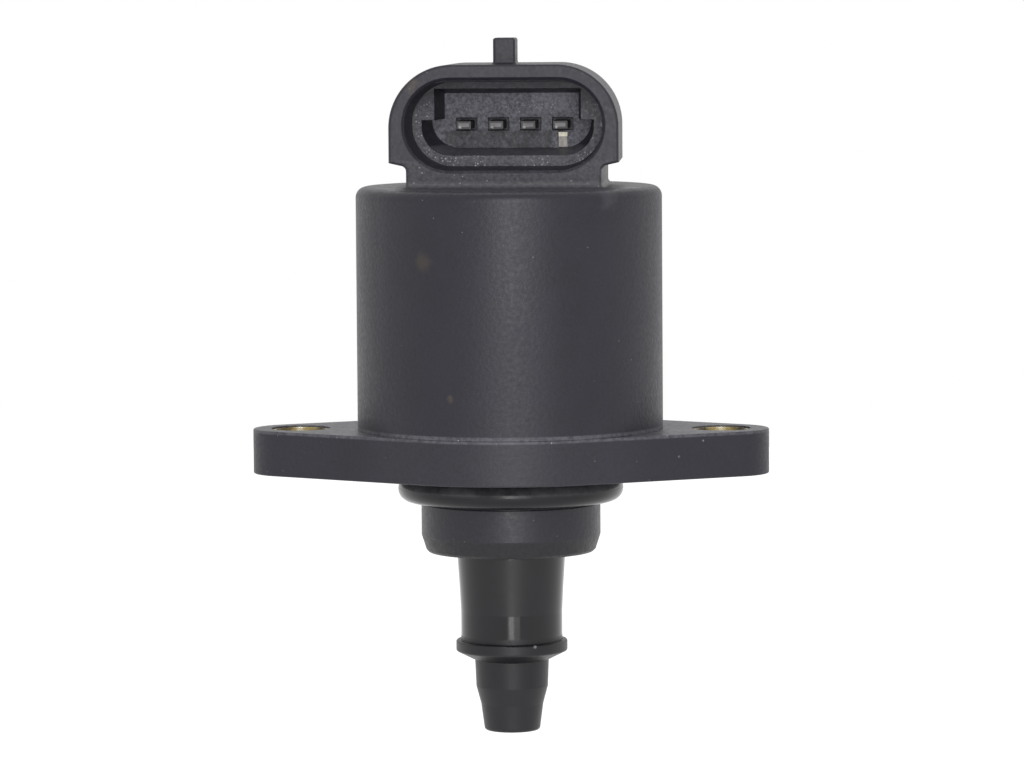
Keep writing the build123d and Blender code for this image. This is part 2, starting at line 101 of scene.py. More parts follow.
def linear(value: int) -> float:
    """Turn one display value from 0 to 255 into a linear share of light.

    Args:
        value: The display value.

    Returns:
        The share, from 0 to 1.
    """
    share = value / DISPLAY_TOP
    if share <= TOE_END:
        return share / TOE_SLOPE
    return ((share + CURVE_LIFT) / (1 + CURVE_LIFT)) ** CURVE_POWER


def srgb(red: int, green: int, blue: int) -> Colour:
    """Turn a display colour into the linear one that shaders use.

    Args:
        red, green, blue: Display values from 0 to 255.

    Returns:
        The linear colour, with an alpha of 1.
    """
    return linear(red), linear(green), linear(blue), 1.0


def place(height: float, azimuth: float, elevation: float, distance: float) -> tuple[Vector, Vector]:
    """Find a place round the valve's axis, given as angles from the mouth's side.

    Args:
        height: Height on the axis that the place looks at.
        azimuth: Degrees round the axis, positive towards +X.
        elevation: Degrees above the horizon.
        distance: Distance from the point on the axis.

    Returns:
        The place, and the unit vector from the axis to it.
    """
    turn, rise = math.radians(azimuth), math.radians(elevation)
    out = Vector((math.sin(turn) * math.cos(rise), -math.cos(turn) * math.cos(rise), math.sin(rise)))
    return Vector((0, 0, height)) + out * distance, out


class Sock:
    """An output socket that takes part in arithmetic: each operation adds a Math node."""

    def __init__(self, recipe: "Recipe", socket: bpy.types.NodeSocket) -> None:
        """Wrap one output socket of a recipe's node."""
        self.recipe = recipe
        self.socket = socket

    def _math(self, operation: str, first: "Sock | float", second: "Sock | float") -> "Sock":
        """Add a Math node for two values."""
        return self.recipe.node("ShaderNodeMath", {"operation": operation}, {0: first, 1: second})

    def __add__(self, other: "Sock | float") -> "Sock":
        """Add a value."""
        return self._math("ADD", self, other)

    def __radd__(self, other: float) -> "Sock":
        """Add to a number."""
        return self._math("ADD", other, self)

    def __sub__(self, other: "Sock | float") -> "Sock":
        """Take a value away."""
        return self._math("SUBTRACT", self, other)

    def __rsub__(self, other: float) -> "Sock":
        """Take away from a number."""
        return self._math("SUBTRACT", other, self)

    def __mul__(self, other: "Sock | float") -> "Sock":
        """Multiply by a value."""
        return self._math("MULTIPLY", self, other)

    def __rmul__(self, other: float) -> "Sock":
        """Multiply a number."""
        return self._math("MULTIPLY", other, self)

    def rise(self, low: float, high: float) -> "Sock":
        """Go smoothly from 0 at low to 1 at high.

        Args:
            low: Value that gives 0.
            high: Value that gives 1, above low.

        Returns:
            The smooth step.
        """
        edges = {"Value": self, "From Min": low, "From Max": high}
        return self.recipe.node("ShaderNodeMapRange", {"interpolation_type": "SMOOTHSTEP"}, edges)

    def fall(self, low: float, high: float) -> "Sock":
        """Go smoothly from 1 at low to 0 at high."""
        return 1 - self.rise(low, high)


class Recipe:
    """A node tree of a material or a world, and the ways to add nodes to it."""

    MIX_A, MIX_B, MIX_RESULT = 6, 7, 2
    NOISE_MIDDLE = 0.5
    CLOUD_DETAIL, CLOUD_ROUGH = 4.0, 0.6
    SPECK_CORE = 0.4
    FULL_SPECKS = 0.6
    BEVEL_SAMPLES = 6

    def __init__(self, owner: bpy.types.Material | bpy.types.World) -> None:
        """Clear the owner's nodes and add its output.

        Args:
            owner: The material or the world.
        """
        owner.use_nodes = True
        self.tree = owner.node_tree
        self.tree.nodes.clear()
        world = isinstance(owner, bpy.types.World)
        self.output = self.tree.nodes.new("ShaderNodeOutputWorld" if world else "ShaderNodeOutputMaterial")

    def node(
        self, kind: str, settings: dict | None = None, inputs: dict | None = None, out: str | int = 0,
    ) -> Sock:
        """Add one node.

        Args:
            kind: The node's type.
            settings: Its settings, by name.
            inputs: Values or sockets for its inputs, by name or number.
            out: The output that is wanted, by name or number.

        Returns:
            That output.
        """
        made = self.tree.nodes.new(kind)
        for name, value in (settings or {}).items():
            setattr(made, name, value)
        for name, value in (inputs or {}).items():
            if isinstance(value, Sock):
                self.tree.links.new(value.socket, made.inputs[name])
            else:
                made.inputs[name].default_value = value
        return Sock(self, made.outputs[out])

    def show(self, shader: Sock) -> None:
        """Link a shader to the output."""
        self.tree.links.new(shader.socket, self.output.inputs["Surface"])

    def spot(self) -> Sock:
        """Give the place on the object."""
        return self.node("ShaderNodeTexCoord", out="Object")

    def axes(self) -> tuple[Sock, Sock, Sock]:
        """Split the place on the object.

        Returns:
            The lengths along X, Y and Z.
        """
        split = self.node("ShaderNodeSeparateXYZ", None, {0: self.spot()}).socket.node
        x, y, z = (Sock(self, output) for output in split.outputs)
        return x, y, z

    def stretched(self, scale: Point) -> Sock:
        """Give the place with each axis scaled."""
        return self.node("ShaderNodeMapping", None, {"Vector": self.spot(), "Scale": scale})

    def noise(self, size: float, detail: float = 2.0, rough: float = 0.5, at: Sock | None = None) -> Sock:
        """Add a cloudy pattern.

        Args:
            size: Length of its largest lumps.
            detail: Number of finer layers.
            rough: Strength of the finer layers.
            at: Place to read it at, or None for the plain place.

        Returns:
            Values about a half.
        """
        inputs = {"Vector": at or self.spot(), "Scale": 1 / size, "Detail": detail, "Roughness": rough}
        return self.node("ShaderNodeTexNoise", None, inputs)

    def cloud(self, size: float) -> Sock:
        """Add the cloudy pattern of a surface's slow changes, with lumps of a size."""
        return self.noise(size, self.CLOUD_DETAIL, self.CLOUD_ROUGH)

    def specks(self, spacing: float, radius: float, share: float) -> Sock:
        """Scatter small round specks.

        Args:
            spacing: Distance between places where a speck can be.
            radius: Radius of the largest specks.
            share: Share of the places that have one.

        Returns:
            1 in a speck and 0 outside it.
        """
        cells = self.node("ShaderNodeTexVoronoi", None, {"Vector": self.spot(), "Scale": 1 / spacing})
        tints = Sock(self, cells.socket.node.outputs["Color"])
        chance = self.node("ShaderNodeSeparateColor", None, {0: tints})
        reach = radius / spacing
        chosen = chance.rise(1 - share, 1 - share * self.FULL_SPECKS)
        return cells.fall(reach * self.SPECK_CORE, reach) * chosen

    def blend(self, factor: Sock | float, first: Sock | Colour, second: Sock | Colour) -> Sock:
        """Mix two colours.

        Args:
            factor: 0 for the first, 1 for the second.
            first: First colour.
            second: Second colour.

        Returns:
            The mixed colour.
        """
        inputs = {0: factor, self.MIX_A: first, self.MIX_B: second}
        return self.node("ShaderNodeMix", {"data_type": "RGBA"}, inputs, self.MIX_RESULT)

    def soft_edges(self, radius: float) -> Sock:
        """Give normals that round every edge by a radius."""
        return self.node("ShaderNodeBevel", {"samples": self.BEVEL_SAMPLES}, {"Radius": radius})

    def relief(self, height: Sock, depth: float, normal: Sock | None = None) -> Sock:
        """Raise a pattern from the surface.

        Args:
            height: The pattern, from 0 to 1.
            depth: Its height in metres.
            normal: Normals to start from, or None for the surface's own.

        Returns:
            The new normals.
        """
        inputs = {"Height": height, "Distance": depth, "Strength": 1.0}
        if normal is not None:
            inputs["Normal"] = normal
        return self.node("ShaderNodeBump", None, inputs)


@dataclass(frozen=True)
class Stain:
    """A faint round mark on a surface: a stain or speck, or a painted highlight or glint."""

    LUMP, DETAIL = 0.6, 3.0
    CORE = 0.1

    centre: Point
    radius: float
    colour: Colour
    strength: float

    def over(self, recipe: Recipe, colour: Sock) -> Sock:
        """Lay the mark over a colour.

        Args:
            recipe: Recipe that gets the nodes.
            colour: Colour under the mark.

        Returns:
            The marked colour.
        """
        ends = {0: recipe.spot(), 1: self.centre}
        away = recipe.node("ShaderNodeVectorMath", {"operation": "DISTANCE"}, ends, "Value")
        lumps = recipe.noise(self.radius * self.LUMP, self.DETAIL) - recipe.NOISE_MIDDLE
        ragged = away + lumps * self.radius
        cover = ragged.fall(self.CORE * self.radius, self.radius) * self.strength
        return recipe.blend(cover, colour, self.colour)


@dataclass(frozen=True)
class Zone:
    """A box-shaped part of the model, with soft limits."""

    low: Point
    high: Point
    edges: Point = mm(0.3, 0.3, 0.3)

    def inside(self, recipe: Recipe) -> Sock:
        """Give 1 inside the box and 0 outside it.

        Args:
            recipe: Recipe that gets the nodes.

        Returns:
            The share of the box at a place.
        """
        share: Sock | float = 1.0
        for axis, low, high, edge in zip(recipe.axes(), self.low, self.high, self.edges):
            share = axis.rise(low, low + edge) * axis.fall(high - edge, high) * share
        return share


@dataclass(frozen=True)
class Film:
    """A mottled film over one zone, such as dust on a wall, or a painted fill light, shade or highlight."""

    DETAIL, ROUGH = 4.0, 0.7
    MOTTLE = (0.3, 0.7)
    GRAIN_SPACING, GRAIN_RADIUS = 0.28 * MM, 0.1 * MM
    DRIFT_SIZE, DRIFT = 2.5 * MM, (0.38, 0.62)

    zone: Zone
    colour: Colour
    cover: float
    lump: float = 0.5 * MM
    thin: float = 0.3
    grain: Colour = srgb(185, 187, 195)
    grain_share: float = 0.0

    def over(self, recipe: Recipe, colour: Sock) -> Sock:
        """Lay the film over a colour.

        Args:
            recipe: Recipe that gets the nodes.
            colour: Colour under the film.

        Returns:
            The filmed colour inside the zone, and the clean one outside.
        """
        inside = self.zone.inside(recipe)
        mottle = recipe.noise(self.lump, self.DETAIL, self.ROUGH).rise(*self.MOTTLE)
        cover = inside * (mottle * (1 - self.thin) + self.thin) * self.cover
        filmed = recipe.blend(cover, colour, self.colour)
        if not self.grain_share:
            return filmed
        grains = recipe.specks(self.GRAIN_SPACING, self.GRAIN_RADIUS, self.grain_share)
        drifts = recipe.noise(self.DRIFT_SIZE).rise(*self.DRIFT)
        return recipe.blend(inside * grains * drifts, filmed, self.grain)


Mark = Stain | Film


@dataclass(frozen=True)
class MouldedPlastic:
    """Filled plastic with a fine mould grain."""

    CLOUD_SIZE, CLOUD_SPAN = 5 * MM, (0.3, 0.7)
    GRAIN_DETAIL, GRAIN_ROUGH, GRAIN_SPAN = 3.0, 0.7, (0.3, 0.75)
    CLOUD_SHARE, GRAIN_SHARE = 0.5, 0.5
    SPECK_SPACING, SPECK_RADIUS, SPECK_STRENGTH = 0.6 * MM, 0.1 * MM, 0.35
    CLOUDED_BY = 0.12

    name: str
    colour: Colour
    light: Colour
    roughness: float
    grain: float = 0.32 * MM
    pebble: float = 0.4 * MM
    depth: float = 0.03 * MM
    edge: float = 0.12 * MM
    speck_share: float = 0.05
    speck: Colour = srgb(150, 150, 156)
    specular: float = 0.5
    marks: tuple[Mark, ...] = ()
    rubbed: tuple[Zone, ...] = ()
    rubbed_by: float = 0.06
    sparkle: float = 0.3

    def make(self) -> bpy.types.Material:
        """Make the material.

        Returns:
            The new material.
        """
        material = bpy.data.materials.new(self.name)
        recipe = Recipe(material)
        cloud = recipe.cloud(self.CLOUD_SIZE)
        grain = recipe.noise(self.grain, self.GRAIN_DETAIL, self.GRAIN_ROUGH)
        clouded = cloud.rise(*self.CLOUD_SPAN) * self.CLOUD_SHARE
        grained = grain.rise(*self.GRAIN_SPAN) * self.GRAIN_SHARE
        colour = recipe.blend(clouded + grained, self.colour, self.light)
        specks = recipe.specks(self.SPECK_SPACING, self.SPECK_RADIUS, self.speck_share)
        colour = recipe.blend(specks * self.SPECK_STRENGTH, colour, self.speck)
        for mark in self.marks:
            colour = mark.over(recipe, colour)
        pebbles = recipe.noise(self.pebble)
        normal = recipe.relief(pebbles, self.depth, recipe.soft_edges(self.edge))
        roughness = self.roughness + (cloud - recipe.NOISE_MIDDLE) * self.CLOUDED_BY
        roughness = roughness + (pebbles - recipe.NOISE_MIDDLE) * self.sparkle
        for zone in self.rubbed:
            roughness = roughness - zone.inside(recipe) * self.rubbed_by
        recipe.show(recipe.node("ShaderNodeBsdfPrincipled", None, {
            "Base Color": colour,
            "Roughness": roughness,
            "Specular IOR Level": self.specular,
            "Normal": normal,
        }))
        return material


@dataclass(frozen=True)
class SmoothBlack:
    """Smooth black moulding or rubber, handled and slightly oily."""

    CLOUD_SIZE, CLOUD_SPAN = 3 * MM, (0.3, 0.7)
    STREAK_DETAIL, STREAK_ROUGH, STREAK_PULL = 3.0, 0.6, (1.0, 1.0, 0.18)
    SPECK_SPACING, SPECK_RADIUS = 0.9 * MM, 0.09 * MM
    SPECK_SHARE, SPECK_STRENGTH, SPECK = 0.05, 0.5, srgb(140, 140, 145)

    name: str
    colour: Colour
    light: Colour
    roughness: float
    smear: float = 0.12
    streak: float = 1.0 * MM
    depth: float = 0.002 * MM
    edge: float = 0.1 * MM
    specular: float = 0.4
    marks: tuple[Mark, ...] = ()
    dulled: tuple[Zone, ...] = ()
    dulled_by: float = 0.3

    def make(self) -> bpy.types.Material:
        """Make the material.

        Returns:
            The new material.
        """
        material = bpy.data.materials.new(self.name)
        recipe = Recipe(material)
        cloud = recipe.cloud(self.CLOUD_SIZE)
        pulled = recipe.stretched(self.STREAK_PULL)
        drawn = recipe.noise(self.streak, self.STREAK_DETAIL, self.STREAK_ROUGH, pulled)
        colour = recipe.blend(cloud.rise(*self.CLOUD_SPAN), self.colour, self.light)
        specks = recipe.specks(self.SPECK_SPACING, self.SPECK_RADIUS, self.SPECK_SHARE)
        colour = recipe.blend(specks * self.SPECK_STRENGTH, colour, self.SPECK)
        for mark in self.marks:
            colour = mark.over(recipe, colour)
        normal = recipe.relief(drawn, self.depth, recipe.soft_edges(self.edge))
        roughness = self.roughness + (drawn - recipe.NOISE_MIDDLE) * self.smear
        for zone in self.dulled:
            roughness = roughness + zone.inside(recipe) * self.dulled_by
        recipe.show(recipe.node("ShaderNodeBsdfPrincipled", None, {
            "Base Color": colour,
            "Roughness": roughness,
            "Specular IOR Level": self.specular,
            "Normal": normal,
        }))
        return material


@dataclass(frozen=True)
class WorkedMetal:
    """Metal with the lines of its making and some tarnish."""

    LINE_DETAIL, LINE_ROUGH = 4.0, 0.65
    PATCH_SIZE = 1.5 * MM
    EDGE = 0.06 * MM
    LINED_BY, PATCHED_BY = 0.2, 0.15

    name: str
    colour: Colour
    tarnish: Colour
    roughness: float
    lines: Point = (1.0, 1.0, 1.0)
    line_size: float = 0.4 * MM
    depth: float = 0.002 * MM
    tarnished: tuple[float, float] = (0.45, 0.75)
    metallic: float = 1.0
    bare: tuple[Zone, ...] = ()
    marks: tuple[Mark, ...] = ()

    def make(self) -> bpy.types.Material:
        """Make the material.

        Returns:
            The new material.
        """
        material = bpy.data.materials.new(self.name)
        recipe = Recipe(material)
        pulled = recipe.stretched(self.lines)
        worked = recipe.noise(self.line_size, self.LINE_DETAIL, self.LINE_ROUGH, pulled)
        patches = recipe.cloud(self.PATCH_SIZE).rise(*self.tarnished)
        colour = recipe.blend(patches, self.colour, self.tarnish)
        for mark in self.marks:
            colour = mark.over(recipe, colour)
        metallic: Sock | float = self.metallic
        for zone in self.bare:
            metallic = metallic + zone.inside(recipe) * (1 - self.metallic)
        normal = recipe.relief(worked, self.depth, recipe.soft_edges(self.EDGE))
        lined = self.roughness + (worked - recipe.NOISE_MIDDLE) * self.LINED_BY
        recipe.show(recipe.node("ShaderNodeBsdfPrincipled", None, {
            "Base Color": colour,
            "Metallic": metallic,
            "Roughness": lined + patches * self.PATCHED_BY,
            "Normal": normal,
        }))
        return material


# Parts of the surface that are dusty, rubbed, dulled or bare, or that get painted fill light, shade or
# highlights, from the plug's socket down to the pintle.
BACK_WALL_DUST_AND_FILL_LIGHT = Zone(mm(-9.4, 4.8, 33.0), mm(9.4, 5.5, 40.6))
WALL_FOOT_SHADE = Zone(mm(-7.5, 4.8, 32.0), mm(4.6, 6.2, 36.0), mm(0.6, 0.2, 0.5))
CAVITY_FLOOR_DUST_AND_FILL_LIGHT = Zone(mm(-9.3, -1.0, 32.8), mm(9.3, 5.1, 34.4))
POCKET_ROOF_FILL_LIGHT = Zone(mm(-8.5, -7.0, 40.8), mm(8.5, -1.2, 41.9))
LEDGE = Zone(mm(-10.0, -1.5, 29.0), mm(10.0, -0.7, 40.0), mm(0.2, 0.2, 2.5))
LEDGE_FOOT = Zone(mm(-8.0, -1.5, 31.0), mm(8.0, -0.7, 33.6))
DUSTY_CORNER = Zone(mm(1.5, 4.8, 37.3), mm(6.8, 6.2, 40.6), mm(1.5, 0.2, 0.8))
SILL = Zone(mm(-13.0, -8.2, 29.9), mm(13.0, -6.7, 33.2))
SHROUD_FRONT = Zone(mm(-13.0, -7.8, 32.9), mm(13.0, -6.7, 43.5))
FLAT_END = Zone(mm(-16.5, -16.5, 29.7), mm(16.5, 16.5, 31.0))
BODY_FRONT = Zone(mm(-17.0, -17.0, 8.0), mm(17.0, -9.0, 48.0), mm(1.0, 1.0, 19.0))
FLANGE_FRONT = Zone(mm(-16.0, -17.0, -1.0), mm(16.0, 17.0, 5.0), mm(5.0, 0.3, 0.3))
FLANGE_RIM = Zone(mm(-28.0, -17.0, 4.3), mm(28.0, 17.0, 5.2), mm(0.1, 0.1, 0.2))
SPIGOT_WALL = Zone(mm(-10.0, -10.0, -6.6), mm(10.0, 10.0, -2.8))
LEAD_IN_SHADE = Zone(mm(-10.0, -10.0, -8.6), mm(10.0, 10.0, -6.3))
PINTLE_TIP = Zone(mm(-8.0, -8.0, -32.0), mm(8.0, 8.0, -16.9))
RING_SHOULDER_FILL_LIGHT = Zone(mm(-13.0, -13.0, -1.7), mm(13.0, 13.0, 0.4), mm(0.3, 0.3, 0.5))
SHANK_SHADE = Zone(mm(-8.0, 1.2, 35.0), mm(8.0, 5.5, 38.0), mm(0.2, 0.1, 0.2))
LEGS = Zone(mm(-8.0, 5.5, 20.0), mm(8.0, 10.5, 37.0))
LEG_TOP_HIGHLIGHT = Zone(mm(-8.0, 5.6, 35.0), mm(8.0, 7.5, 36.0), mm(0.1, 0.1, 0.1))
# Places along X, in millimetres, of the painted reflections and highlights in the sleeves and of the painted
# glints on the terminals.
SLEEVE_SIDE_REFLECTIONS = (-24.4, -19.8, 19.8, 24.4)
SLEEVE_HIGHLIGHTS = (-22.5, 22.0)
GLINTS = (-5.15, -1.77, 1.61, 4.95)


class Finish(Enum):
    """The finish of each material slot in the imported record."""

    housing_plastic = MouldedPlastic(
        "housing_plastic", srgb(27, 25, 34), srgb(37, 35, 46), roughness=0.46, specular=0.4,
        marks=(
            # Back wall of the socket: dust specks, and a pale film that paints fill light into the recess.
            Film(BACK_WALL_DUST_AND_FILL_LIGHT, srgb(133, 133, 146), cover=1.0, lump=0.35 * MM, thin=0.1, grain_share=0.2),
            # Painted shade: a dark film at the foot of the socket's back wall, under the terminals.
            Film(WALL_FOOT_SHADE, srgb(36, 36, 40), cover=0.95, thin=0.4),
            # Cavity floor: dust, and a pale film that paints fill light into the recess.
            Film(CAVITY_FLOOR_DUST_AND_FILL_LIGHT, srgb(120, 120, 128), cover=1.0),
            # Painted fill light: a pale film on the pocket's downward-facing roof.
            Film(POCKET_ROOF_FILL_LIGHT, srgb(120, 120, 128), cover=1.0),
            # Ledge: dust grains, and a pale film that paints fill light on it.
            Film(LEDGE, srgb(97, 97, 105), cover=1.0, lump=0.3 * MM, thin=0.05, grain_share=0.4),
            Film(LEDGE_FOOT, srgb(92, 92, 100), cover=0.2, grain_share=0.9),
            Film(DUSTY_CORNER, srgb(150, 150, 162), cover=0.5, grain_share=0.9),
            Film(SILL, srgb(94, 94, 101), cover=0.42, lump=0.35 * MM, thin=0.0, grain_share=0.06),
            Film(SHROUD_FRONT, srgb(84, 84, 90), cover=0.12, lump=0.45 * MM),
            Film(FLAT_END, srgb(92, 92, 96), cover=0.65),
            Film(FLANGE_FRONT, srgb(66, 66, 72), cover=0.25, lump=0.4 * MM),
            Film(FLANGE_RIM, srgb(130, 130, 138), cover=0.45, lump=0.6 * MM, grain_share=0.03),
            Film(SPIGOT_WALL, srgb(66, 66, 72), cover=0.15, lump=0.4 * MM),
            # Painted shade: a near-black film on the spigot's downward-facing lead-in chamfer.
            Film(LEAD_IN_SHADE, srgb(8, 8, 9), cover=1.0),
            Stain(mm(10.8, -11.2, 29.3), radius=1.8 * MM, colour=srgb(104, 106, 116), strength=0.2),
            Stain(mm(-9.4, -7.4, 40.8), radius=1.2 * MM, colour=srgb(92, 80, 64), strength=0.3),
            Stain(mm(-7.8, -14.0, 22.9), radius=1.4 * MM, colour=srgb(92, 82, 66), strength=0.25),
            Stain(mm(-5.0, -15.2, 9.0), radius=0.6 * MM, colour=srgb(92, 82, 66), strength=0.4),
            Stain(mm(20.45, -6.72, 3.97), radius=0.15 * MM, colour=srgb(176, 176, 182), strength=0.6),
            Stain(mm(18.0, -8.14, 2.45), radius=0.18 * MM, colour=srgb(150, 150, 156), strength=0.4),
            Stain(mm(-12.1, -6.0, 30.1), radius=1.4 * MM, colour=srgb(160, 160, 168), strength=0.4),
            Stain(mm(13.2, -6.0, 30.1), radius=1.4 * MM, colour=srgb(160, 160, 168), strength=0.4),
        ),
        rubbed=(BODY_FRONT, SPIGOT_WALL),
    )
    pintle_plastic = SmoothBlack(
        "pintle_plastic", srgb(8, 8, 14), srgb(14, 14, 21), roughness=0.12, smear=0.16, streak=0.4 * MM,
        # Painted glint: a pale spot on the collar's top edge.
        marks=(Stain(mm(2.8, -5.1, -17.75), radius=0.25 * MM, colour=srgb(150, 150, 156), strength=0.8),),
        dulled=(PINTLE_TIP,),
    )
    seal_rubber = SmoothBlack(
        "seal_rubber", srgb(11, 11, 17), srgb(17, 17, 24), roughness=0.2, smear=0.2, depth=0.001 * MM,
        specular=0.3,
        # Painted fill light: a pale film on the O-ring's top, in the crevice under the flange.
        marks=(Film(RING_SHOULDER_FILL_LIGHT, srgb(84, 84, 88), cover=1.0, lump=4.0 * MM),),
    )
    sleeve_brass = WorkedMetal(
        "sleeve_brass", srgb(214, 198, 146), srgb(160, 142, 94), roughness=0.22, lines=(1.0, 1.0, 0.1),
        metallic=0.5,
        marks=(
            # Painted reflection: the sides of each sleeve's bore greyed, where the wall is seen at a grazing
            # angle.
            *(
                Stain(mm(side, 1.9, 4.4), radius=1.7 * MM, colour=srgb(92, 89, 84), strength=0.9)
                for side in SLEEVE_SIDE_REFLECTIONS
            ),
            # Painted highlight: a near-white spot on the far wall of each sleeve's bore.
            *(
                Stain(mm(side, 2.65, 4.4), radius=0.7 * MM, colour=srgb(255, 250, 228), strength=1.0)
                for side in SLEEVE_HIGHLIGHTS
            ),
        ),
    )
    terminal_metal = WorkedMetal(
        "terminal_metal", srgb(138, 136, 138), srgb(118, 116, 118), roughness=0.55, lines=(1.0, 0.15, 0.15),
        metallic=0.15, bare=(LEGS,),
        marks=(
            # Painted shade: the blades' sides behind their tips made near-black.
            Film(SHANK_SHADE, srgb(14, 14, 15), cover=1.0, thin=1.0),
            Film(LEGS, srgb(182, 177, 170), cover=1.0, lump=0.3 * MM),
            # Painted highlight: a near-white band where each leg bends up into its blade.
            Film(LEG_TOP_HIGHLIGHT, srgb(248, 243, 224), cover=1.0, thin=0.7),
            *(
                Stain(mm(side, 1.0, 36.1), radius=0.25 * MM, colour=srgb(255, 253, 246), strength=1.0)
                for side in GLINTS
            ),
        ),
    )
    yoke_steel = WorkedMetal("yoke_steel", srgb(176, 178, 180), srgb(150, 150, 140), roughness=0.38)
    plain_steel = WorkedMetal(
        "plain_steel", srgb(196, 197, 199), srgb(170, 170, 172), roughness=0.2, lines=(1.0, 1.0, 0.1),
    )
    bobbin_plastic = MouldedPlastic(
        "bobbin_plastic", srgb(196, 190, 172), srgb(214, 210, 194), roughness=0.45,
        speck_share=0.02, speck=srgb(150, 140, 120),
    )
    winding_copper = WorkedMetal(
        "winding_copper", srgb(196, 110, 62), srgb(150, 74, 38), roughness=0.28, lines=(1.0, 1.0, 0.4),
    )
    bush_bronze = WorkedMetal(
        "bush_bronze", srgb(170, 128, 78), srgb(110, 82, 52), roughness=0.5,
        line_size=0.12 * MM, depth=0.01 * MM,
    )
    magnet_ferrite = MouldedPlastic(
        "magnet_ferrite", srgb(66, 66, 69), srgb(84, 84, 87), roughness=0.6,
        speck_share=0.03, speck=srgb(120, 120, 124),
    )


@dataclass
class Dresser:
    """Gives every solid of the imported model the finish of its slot."""

    materials: dict[str, bpy.types.Material] = field(default_factory=dict)

    def material(self, slot: str) -> bpy.types.Material:
        """Give the material of a slot, made on its first use.

        Args:
            slot: The slot's name in the record.

        Returns:
            The slot's material.
        """
        if slot not in self.materials:
            self.materials[slot] = Finish[slot].value.make()
        return self.materials[slot]

    def dress(self) -> None:
        """Put each slot's material on its solids."""
        for row in frame["record"]["subparts"]:
            slots = frame["nodes"][row["node"]].data.materials
            slots.clear()
            slots.append(self.material(row["material_slot"]))
            log.info("%s has the finish %s", row["node"], row["material_slot"])


class Lathe:
    """Turns and winds profiles about the valve's axis."""

    CENTRE = (0.0, 0.0, 0.0)
    AXIS = (0.0, 0.0, 1.0)
    WELD = 1e-7

    @classmethod
    def turn(cls, mesh: bmesh.types.BMesh, outline: list[tuple[float, float]], steps: int) -> None:
        """Turn an outline of radius and height pairs into a closed body.

        Args:
            mesh: Mesh that gets the body.
            outline: Corners of the closed outline, in order.
            steps: Number of flats round the axis.
        """
        corners = [mesh.verts.new((radius, 0, height)) for radius, height in outline]
        edges = [mesh.edges.new(pair) for pair in zip(corners, corners[1:] + corners[:1])]
        bmesh.ops.spin(
            mesh, geom=corners + edges, cent=cls.CENTRE, axis=cls.AXIS, angle=math.tau, steps=steps,
            use_merge=True,
        )

    @classmethod
    def wind(
        cls, mesh: bmesh.types.BMesh, outline: list[tuple[float, float]], turns: int, lead: float, steps: int,
    ) -> None:
        """Sweep an outline along a helix, with both ends closed.

        Args:
            mesh: Mesh that gets the helix.
            outline: Corners of the closed outline at the start, as radius and height.
            turns: Number of turns.
            lead: Rise in one turn.
            steps: Number of flats in one turn.
        """
        corners = [mesh.verts.new((radius, 0, height)) for radius, height in outline]
        edges = [mesh.edges.new(pair) for pair in zip(corners, corners[1:] + corners[:1])]
        others = set(mesh.faces)
        bmesh.ops.spin(
            mesh, geom=corners + edges, cent=cls.CENTRE, axis=cls.AXIS, angle=math.tau, steps=steps,
            dvec=(0, 0, lead / steps),
        )
        first_turn = [face for face in mesh.faces if face not in others]
        for index in range(1, turns):
            copied = bmesh.ops.duplicate(mesh, geom=first_turn)["geom"]
            lifted = [part for part in copied if isinstance(part, bmesh.types.BMVert)]
            bmesh.ops.translate(mesh, verts=lifted, vec=(0, 0, lead * index))
        bmesh.ops.remove_doubles(mesh, verts=mesh.verts, dist=cls.WELD)
        ends = [edge for edge in mesh.edges if edge.is_boundary]
        bmesh.ops.holes_fill(mesh, edges=ends, sides=len(outline))


@dataclass
class TurnedPiece:
    """A piece that stands for one plain turned solid."""

    node: str
    body: str
    slot: str
    round_steps: int = 64
    sharp: float = math.radians(40)

    def finish(self, mesh: bmesh.types.BMesh, dresser: Dresser) -> bpy.types.Object:
        """Make the object, in place of the plain solid.

        Args:
            mesh: The finished shape. It is freed.
            dresser: Source of the material.

        Returns:
            The new object.
        """
        bmesh.ops.remove_doubles(mesh, verts=mesh.verts, dist=Lathe.WELD)
        bmesh.ops.recalc_face_normals(mesh, faces=mesh.faces)
        for face in mesh.faces:
            face.smooth = True
        data = bpy.data.meshes.new(self.node + "_detailed")
        mesh.to_mesh(data)
        mesh.free()
        data.set_sharp_from_angle(angle=self.sharp)
        data.materials.append(dresser.material(self.slot))
        piece = bpy.data.objects.new(self.node + "_detailed", data)
        bpy.context.scene.collection.objects.link(piece)
        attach(piece, self.body)
        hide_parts(self.node)
        log.info("%s stands for %s", piece.name, self.node)
        return piece

    def radii(self) -> tuple[float, float]:
        """Give the solid's smallest and largest radius."""
        away = [math.hypot(vert.co.x, vert.co.y) for vert in frame["nodes"][self.node].data.vertices]
        return min(away), max(away)


